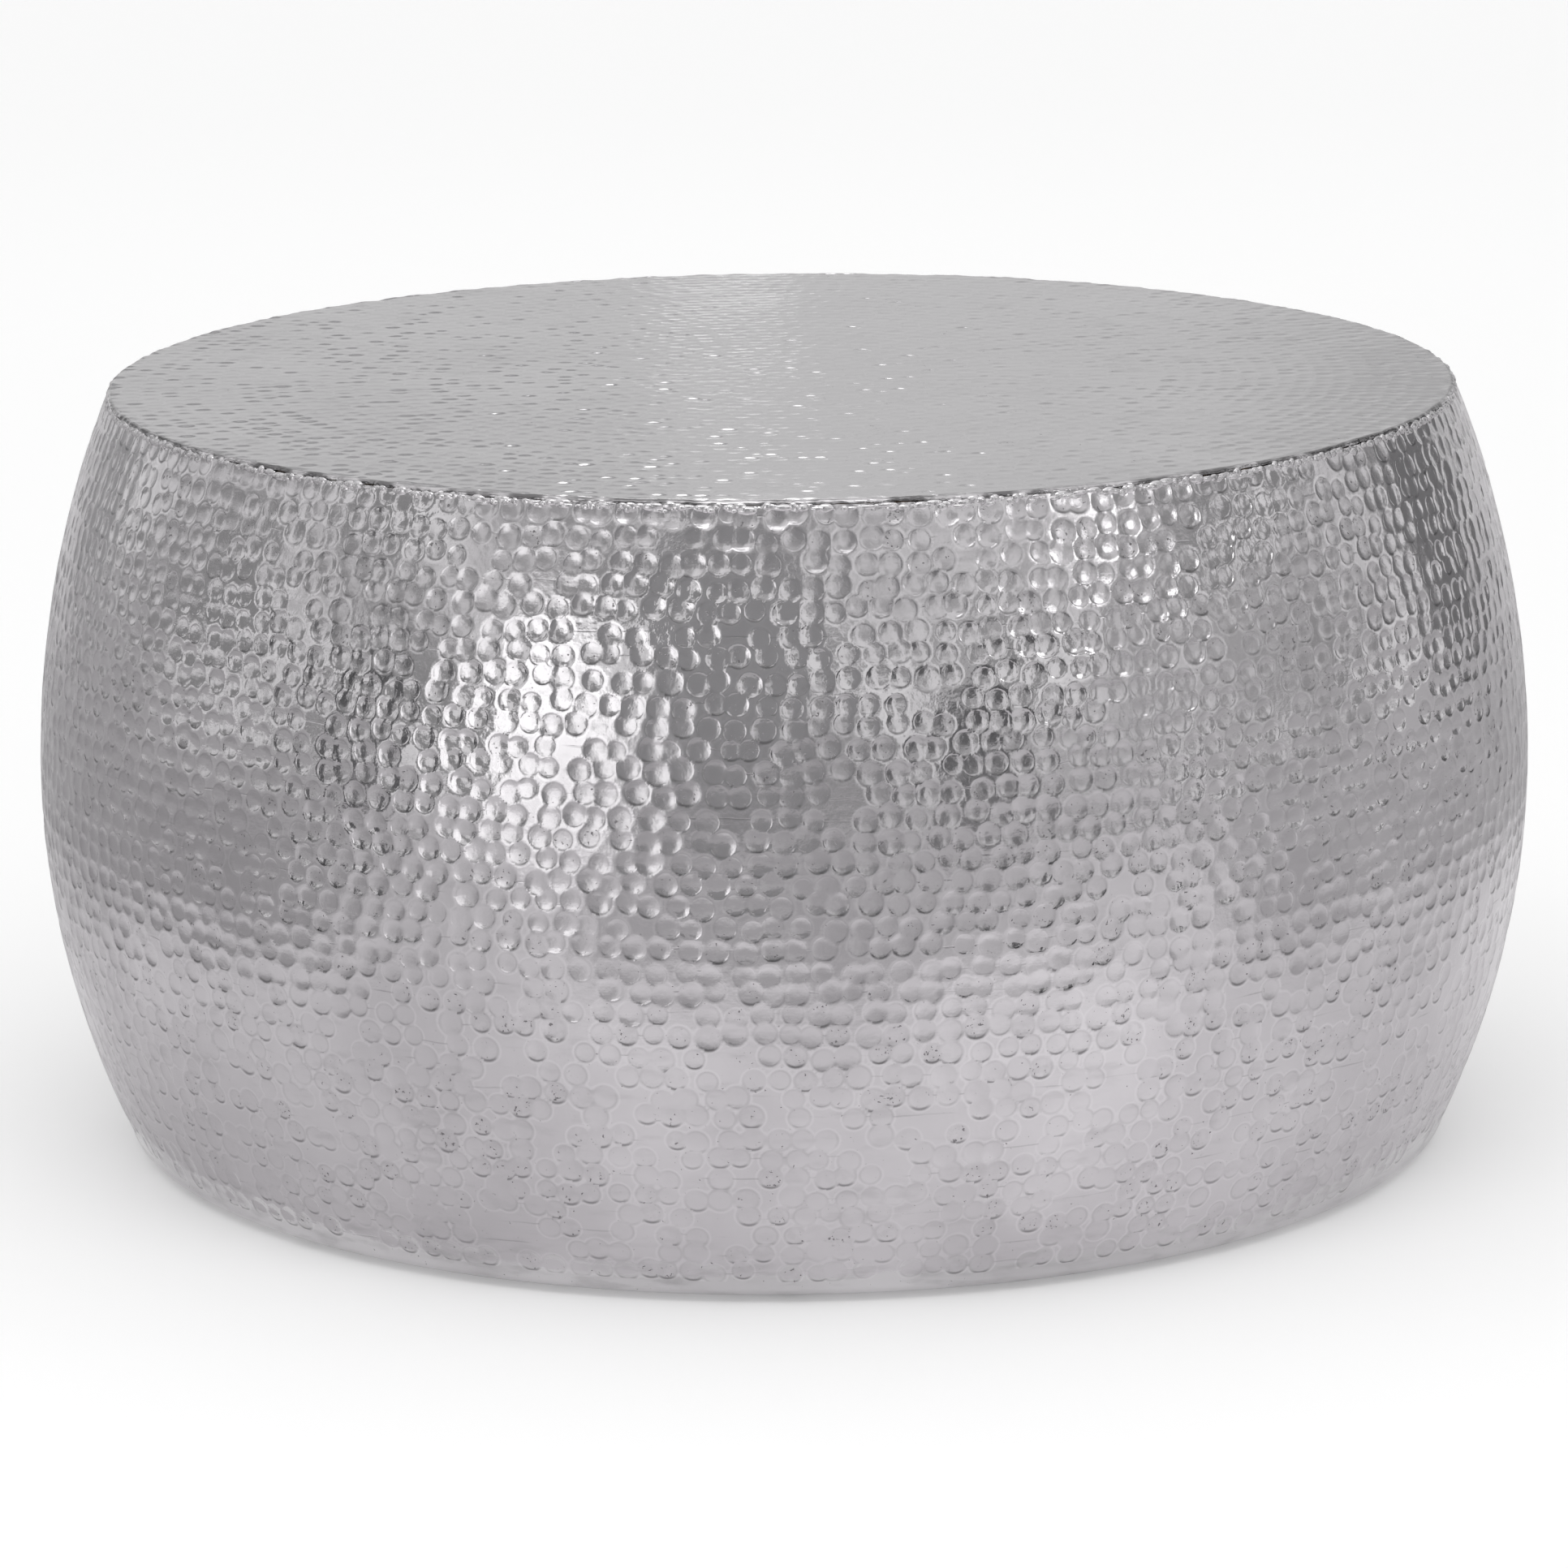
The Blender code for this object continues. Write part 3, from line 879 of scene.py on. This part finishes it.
def stitch_tree(source, material):
    """Short runs of weld, evenly spaced, along the lower edge of the ring's upright leg."""
    tree, sizes = new_tree("ring_stitches", ("Radius", "Height"), ("Stitches", "Ripples"))
    index = step(tree, "GeometryNodeInputIndex")
    ripples = sizes["Ripples"]
    stitch = calc("FLOOR", (index + 0.5) / ripples)
    ripple = calc("FLOORED_MODULO", index, ripples)
    angle = stitch * (math.tau / sizes["Stitches"]) + ripple * RIPPLE_ANGLE
    place = polar(sizes["Radius"], angle, sizes["Height"])
    size = point(RIPPLE_THICK, dice(0.0044, 0.0056, 2, index), dice(0.0036, 0.0046, 3, index))
    return finish_tree(placed(source, sizes["Stitches"] * ripples, place, size, angle), material)


stitches = grow("ring_stitches", stitch_tree(lump, weld_finish), {
    "Radius": ring_outer[-1][0] - RING_SHEET / 2, "Height": ring_low.z,
    "Stitches": STITCHES, "Ripples": STITCH_RIPPLES})
bpy.data.objects.remove(lump)
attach(stitches, "root")


# Base ring
# A ring sawn from the same fibreboard that lies on the foot's flange, keeps it round and takes the glides'
# screws.
base_low, base_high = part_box("base_ring")
BASE_RING_WIDTH = 0.042
base_outer = base_high.x
base_inner = base_outer - BASE_RING_WIDTH
base_profile = [(base_outer - CHAMFER, base_high.z), (base_outer, base_high.z - CHAMFER),
                (base_outer, base_low.z + CHAMFER), (base_outer - CHAMFER, base_low.z),
                (base_inner + CHAMFER, base_low.z), (base_inner, base_low.z + CHAMFER),
                (base_inner, base_high.z - CHAMFER), (base_inner + CHAMFER, base_high.z)]
base = turned("base_board_ring", base_profile, RING_SEGMENTS, board_finish)
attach(base, "root")
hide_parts("base_ring")


# Screws
# Zinc-plated steel screws with a pressed cross recess: eight up through the ring's ledge into the board,
# and one in each glide, up into the base ring.
BOARD_SCREW_HEAD = 0.0026
GLIDE_SCREW_HEAD = 0.0014
SHANK_SHARE = 0.5
RECESS_WIDTH_SHARE = 0.24
RECESS_LENGTH_SHARE = 1.1
RECESS_DEPTH_SHARE = 0.6
SCREW_SEGMENTS = 32
ZINC_WARM = (0.60, 0.58, 0.50)
ZINC_COOL = (0.54, 0.56, 0.60)


def zinc_plate(name):
    """Bright zinc: pale, faintly yellow and blue in patches, with handling marks."""
    material, shader = new_finish(name)
    place = object_place(material.node_tree)
    tone = mixed(noise(place, scale=300.0, detail=3.0), ZINC_WARM, ZINC_COOL)
    gloss = between(noise(place, scale=900.0, detail=4.0), 0.22, 0.44)
    grain = noise(place, scale=2600.0, detail=2.0)
    finished(shader, tone, gloss, grain, distance=0.00003, metallic=1.0)
    return material


def screw_source(name, low, high, head_height):
    """One screw about the origin with its head's top edge at z = 0, cut with a cross recess from below."""
    head = (high.x - low.x) / 2
    shank = head * SHANK_SHARE
    shank_length = high.z - (low.z + head_height)
    drop = high.z - low.z - shank_length
    profile = [(0, shank_length), (shank, shank_length - shank), (shank, 0)]
    profile += [(head * math.cos(angle), -drop * math.sin(angle)) for angle in quarter_turn(6)[:-1]]
    profile.append((0, -drop))
    screw = turned(name, profile, SCREW_SEGMENTS, zinc_finish, closed=False)
    recess_width = head * RECESS_WIDTH_SHARE
    recess_length = head * RECESS_LENGTH_SHARE
    recess_depth = drop * RECESS_DEPTH_SHARE
    for sides in ((recess_length, recess_width), (recess_width, recess_length)):
        bm = bmesh.new()
        shape = Matrix.Translation((0, 0, -drop)) @ Matrix.Diagonal((*sides, 2 * recess_depth, 1))
        bmesh.ops.create_cube(bm, size=1, matrix=shape)
        cutter = kept("slot", bm)
        screw.modifiers.new("Recess", "BOOLEAN").object = cutter
        settle(screw)
        bpy.data.objects.remove(cutter)
    return screw


def circle_tree(name, source, material):
    """Copies of one fixing round a circle, each turned its own way."""
    tree, sizes = new_tree(name, ("Radius", "Height", "First angle"), ("Count",))
    index = step(tree, "GeometryNodeInputIndex")
    angle = index * (math.tau / sizes["Count"]) + sizes["First angle"]
    place = polar(sizes["Radius"], angle, sizes["Height"])
    turn = dice(0.0, math.tau, 9, index)
    return finish_tree(placed(source, sizes["Count"], place, (1, 1, 1), turn), material)


def fixing_circle(name, source, nodes, material, height):
    """A circle of fixings where the frame has them, in place of the frame's own."""
    low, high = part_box(nodes[0])
    first = (low + high) / 2
    fixings = grow(name, circle_tree(name, source, material), {
        "Radius": math.hypot(first.x, first.y), "Height": height,
        "First angle": math.atan2(first.y, first.x), "Count": len(nodes)})
    bpy.data.objects.remove(source)
    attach(fixings, "root")
    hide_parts(*nodes)


zinc_finish = zinc_plate("zinc plate")
board_screw_nodes = [f"board_screw_{i + 1}" for i in range(8)]
board_screw_low, board_screw_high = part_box(board_screw_nodes[0])
board_screw = screw_source("board_screw", board_screw_low, board_screw_high, BOARD_SCREW_HEAD)
board_screw_seat = board_screw_low.z + BOARD_SCREW_HEAD
fixing_circle("board_screws", board_screw, board_screw_nodes, zinc_finish, board_screw_seat)

glide_screw_nodes = [f"glide_screw_{i + 1}" for i in range(6)]
glide_screw_low, glide_screw_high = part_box(glide_screw_nodes[0])
glide_screw = screw_source("glide_screw", glide_screw_low, glide_screw_high, GLIDE_SCREW_HEAD)
glide_screw_seat = glide_screw_low.z + GLIDE_SCREW_HEAD
fixing_circle("glide_screws", glide_screw, glide_screw_nodes, zinc_finish, glide_screw_seat)


# Glides
# Moulded black nylon discs under the flange, set back from its edge, each with a sunk well for the screw
# that holds it.
GLIDE_WEB = 0.0010
GLIDE_EDGE = 0.0009
GLIDE_SEGMENTS = 48
NYLON_BLACK = (0.022, 0.022, 0.023)
NYLON_SCUFF = (0.075, 0.073, 0.07)


def black_nylon(name):
    """Moulded nylon: near black, faintly grained, scuffed grey where it slides."""
    material, shader = new_finish(name)
    place = object_place(material.node_tree)
    scuff = ramp_up(noise(stretched(place, 1.0, 6.0, 1.0), scale=500.0, detail=4.0), 0.52, 0.72)
    tone = mixed(scuff, NYLON_BLACK, NYLON_SCUFF)
    grain = noise(place, scale=2200.0, detail=3.0)
    finished(shader, tone, between(scuff, 0.42, 0.70), grain, distance=0.00008, metallic=0.0)
    return material


nylon_finish = black_nylon("black nylon")
glide_nodes = [f"glide_{i + 1}" for i in range(6)]
glide_low, glide_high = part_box(glide_nodes[0])
glide_radius = (glide_high.x - glide_low.x) / 2
glide_height = glide_high.z - glide_low.z
screw_head_width = glide_screw_high.x - glide_screw_low.x
well_radius = screw_head_width / 2 + FIT_GAP
well_depth = glide_height - GLIDE_WEB
hole_radius = screw_head_width / 4 + FIT_GAP
glide_profile = [(glide_radius, glide_height)]
for edge_angle in quarter_turn(5):
    glide_profile.append((glide_radius - GLIDE_EDGE + GLIDE_EDGE * math.cos(edge_angle),
                          GLIDE_EDGE - GLIDE_EDGE * math.sin(edge_angle)))
glide_profile += [(well_radius, 0), (well_radius, well_depth), (hole_radius, well_depth),
                  (hole_radius, glide_height)]
glide = turned("glide", glide_profile, GLIDE_SEGMENTS, nylon_finish)
fixing_circle("glides", glide, glide_nodes, nylon_finish, 0.0)


# Floor, light and camera
# A plain pale floor under soft light from five area lamps and the world. A grey ring on the ground, cards
# and stands, which only the metal mirrors, give the polished sheet its light and dark, as in a studio.
FLOOR_COLOUR = (0.90, 0.90, 0.90)
FLOOR_GLOW = 0.22
FLOOR_HALF_SIDE = 30
CARD_ROUGHNESS = 0.9
CARD_SPECULAR = 0.1


def plain_card(name):
    """A dull material for the floor and the cards, and its shader."""
    material, shader = new_finish(name)
    shader.inputs["Roughness"].default_value = CARD_ROUGHNESS
    shader.inputs["Specular IOR Level"].default_value = CARD_SPECULAR
    return material, shader


def coloured_card(name, colour):
    """A dull material of one colour."""
    material, shader = plain_card(name)
    shader.inputs["Base Color"].default_value = (*colour, 1)
    return material


def lit_floor(name, colour, glow):
    """A flat colour that also glows a little to the camera and in mirrors, so that the floor shows white."""
    material = coloured_card(name, colour)
    shader = material.node_tree.nodes["Principled BSDF"]
    path = material.node_tree.nodes.new("ShaderNodeLightPath")
    camera_ray, glossy_ray, clear_ray = [
        Value(path.outputs[f"Is {kind} Ray"]) for kind in ("Camera", "Glossy", "Transmission")]
    shader.inputs["Emission Color"].default_value = (1, 1, 1, 1)
    feed(shader.inputs["Emission Strength"], (camera_ray + glossy_ray + clear_ray) * glow)
    return material


def mirrored_card(name, bm, material):
    """A piece of the set that only reflections show."""
    card = kept(name, bm, material)
    card.visible_camera = False
    card.visible_diffuse = False
    card.visible_shadow = False


def upright_card(name, material, azimuth, distance, width, bottom, top):
    """A card that stands upright and faces the object."""
    bm = bmesh.new()
    bmesh.ops.create_grid(bm, x_segments=1, y_segments=1, size=0.5)
    turn = Matrix.Rotation(math.radians(azimuth), 4, "Z")
    turn = turn @ Matrix.Translation((0, -distance, (bottom + top) / 2))
    turn = turn @ Matrix.Rotation(math.pi / 2, 4, "X") @ Matrix.Diagonal((width, top - bottom, 1, 1))
    bmesh.ops.transform(bm, matrix=turn, verts=bm.verts)
    mirrored_card(name, bm, material)


floor_bm = bmesh.new()
bmesh.ops.create_grid(floor_bm, x_segments=1, y_segments=1, size=FLOOR_HALF_SIDE)
floor = kept("floor", floor_bm, lit_floor("pale floor", FLOOR_COLOUR, FLOOR_GLOW))

dark_card = coloured_card("dark card", (0.14, 0.14, 0.144))
middle_card = coloured_card("middle card", (0.28, 0.28, 0.283))
front_card = coloured_card("front card", (0.50, 0.50, 0.505))
upright_card("card_front", front_card, azimuth=-8.0, distance=4.6, width=2.0, bottom=0.0, top=3.0)
upright_card("card_right", middle_card, azimuth=122.0, distance=3.0, width=0.9, bottom=0.0, top=2.2)
upright_card("card_left", front_card, azimuth=-134.0, distance=3.0, width=0.7, bottom=0.0, top=2.2)
upright_card("card_behind", front_card, azimuth=189.3, distance=3.0, width=0.73, bottom=1.12, top=1.45)
for stand, (azimuth, width) in enumerate(((27.0, 0.52), (53.0, 0.20), (-62.0, 0.34))):
    upright_card(f"stand_{stand + 1}", dark_card, azimuth, distance=3.0, width=width, bottom=0.0, top=0.85)

GROUND_RADII = (0.35, 12.0)
GROUND_Z = 0.002
GROUND_SEGMENTS = 96
GROUND_GLOW = 0.24
GROUND_STRIPE = (0.16, 0.158, 0.16)
GROUND_NEAR = ((-180.0, 0.84), (-118.0, 0.71), (-45.0, 0.70), (-28.0, 0.76), (-18.0, 0.84), (14.0, 0.84),
               (22.0, 0.92), (36.0, 0.92), (52.0, 0.82), (118.0, 0.78), (180.0, 0.84))
GROUND_FAR = ((-180.0, 0.92), (-118.0, 0.64), (-66.0, 0.60), (-44.0, 0.84), (-30.0, 0.94), (-19.0, 0.68),
              (4.0, 0.68), (15.0, 0.80), (35.0, 0.86), (42.0, 0.94), (53.0, 0.94), (64.0, 0.72),
              (118.0, 0.71), (180.0, 0.92))


def round_tones(share, tones):
    """A grey that changes softly with the azimuth, from (degrees, grey) pairs."""
    node = share.tree.nodes.new("ShaderNodeValToRGB")
    node.color_ramp.interpolation = "EASE"
    stops = node.color_ramp.elements
    while len(stops) < len(tones):
        stops.new(1.0)
    for stop, (degrees, grey) in zip(stops, tones):
        stop.position = (degrees + 180.0) / 360.0
        stop.color = (grey, grey * 0.985, grey, 1)
    feed(node.inputs["Fac"], share)
    return Value(node.outputs["Color"])


def ground_ring(name):
    """A flat ring on the floor: light near the object, then a dark stripe, then grey, by the azimuth."""
    bm = bmesh.new()
    wire = outline(bm, [(radius, GROUND_Z) for radius in GROUND_RADII], closed=False)
    spin(bm, wire, math.tau, GROUND_SEGMENTS)
    material, shader = plain_card(name)
    place = object_place(material.node_tree)
    x, y, _ = axes_of(place)
    share = calc("ARCTAN2", x, y * -1.0) / math.tau + 0.5
    away = vector_calc("LENGTH", place) + (noise(place, scale=2.6, detail=2.0) - 0.5) * 0.45
    far = ramp_up(away, 0.54, 0.98)
    near_tone = round_tones(share, GROUND_NEAR)
    far_tone = round_tones(share, GROUND_FAR)
    stripe = far * (1.0 - ramp_up(away, 1.4, 2.1)) * (0.98 - far_tone) * 0.75
    feed(shader.inputs["Base Color"], mixed(stripe, mixed(far, near_tone, far_tone), GROUND_STRIPE))
    feed(shader.inputs["Emission Color"], near_tone)
    feed(shader.inputs["Emission Strength"], between(far, GROUND_GLOW, 0.0))
    mirrored_card(name, bm, material)


ground_ring("ground")

world = bpy.data.worlds.new("studio")
bpy.context.scene.world = world
world.use_nodes = True
background = world.node_tree.nodes["Background"]
direction = step(world.node_tree, "ShaderNodeTexCoord", output="Generated")
_, toward_back, upward = axes_of(direction)
patch = ramp_up(noise(stretched(direction, 1.0, 1.0, 0.6), scale=6.4, detail=1.5), 0.44, 0.56)
behind = ramp_up(toward_back, 0.45, 0.95)
overhead = ramp_up(upward, 0.50, 0.95)
around = between(behind, between(patch, 0.33, 0.98), between(patch, 0.51, 0.65))
background.inputs["Color"].default_value = (1, 1, 1, 1)
feed(background.inputs["Strength"], between(overhead, around, 1.00))

LAMP_AIM = Vector((0, 0, 0.25))


def softbox(name, azimuth, elevation, distance, width, height, power):
    """An area light that faces the object."""
    light = bpy.data.lights.new(name, "AREA")
    light.shape = "RECTANGLE"
    light.size = width
    light.size_y = height
    light.energy = power
    lamp = bpy.data.objects.new(name, light)
    bpy.context.scene.collection.objects.link(lamp)
    turn = math.radians(azimuth)
    lift = math.radians(elevation)
    aim = Vector((math.sin(turn) * math.cos(lift), -math.cos(turn) * math.cos(lift), math.sin(lift)))
    lamp.location = LAMP_AIM + aim * distance
    lamp.rotation_mode = "QUATERNION"
    lamp.rotation_quaternion = aim.to_track_quat("Z", "Y")


softbox("softbox_left", azimuth=-32.5, elevation=4.0, distance=2.6, width=0.80, height=1.5, power=2.8)
softbox("softbox_right", azimuth=52.0, elevation=27.0, distance=3.0, width=0.40, height=0.4, power=1.4)
softbox("softbox_front", azimuth=-3.0, elevation=58.0, distance=2.4, width=1.7, height=0.9, power=6.6)
softbox("lamp_behind", azimuth=181.0, elevation=24.5, distance=3.6, width=0.40, height=0.40, power=1.1)
softbox("lamp_low", azimuth=181.0, elevation=8.5, distance=3.34, width=0.13, height=0.05, power=0.022)

PHOTO_WIDTH = 1932
FOCAL_PIXELS = 8077.0
SENSOR_WIDTH = 36.0
CAMERA_ELEVATION = math.radians(12.85)
CAMERA_DISTANCE = 8.872 * BELLY_RADIUS
CAMERA_ROLL = math.radians(-0.56)
DRUM_CENTRE_PIXEL = (966.6, 914.0)
camera_data = bpy.data.cameras.new("camera")
camera_data.sensor_width = SENSOR_WIDTH
camera_data.lens = FOCAL_PIXELS / PHOTO_WIDTH * SENSOR_WIDTH
camera_data.clip_end = 100.0
camera = bpy.data.objects.new("camera", camera_data)
bpy.context.scene.collection.objects.link(camera)
drum_centre = Vector((0, 0, (FOOT_Z + TOP_Z) / 2))
back = Vector((0, -math.cos(CAMERA_ELEVATION), math.sin(CAMERA_ELEVATION)))
camera.location = drum_centre + back * CAMERA_DISTANCE
pitch = math.atan((DRUM_CENTRE_PIXEL[1] - PHOTO_WIDTH / 2) / FOCAL_PIXELS)
yaw = math.atan((DRUM_CENTRE_PIXEL[0] - PHOTO_WIDTH / 2) / FOCAL_PIXELS)
camera.rotation_mode = "QUATERNION"
aimed = (-back).to_track_quat("-Z", "Y")
aimed = aimed @ Quaternion((1, 0, 0), pitch) @ Quaternion((0, 1, 0), yaw)
camera.rotation_quaternion = aimed @ Quaternion((0, 0, 1), CAMERA_ROLL)
bpy.context.scene.camera = camera
bpy.context.scene.view_settings.view_transform = "Standard"
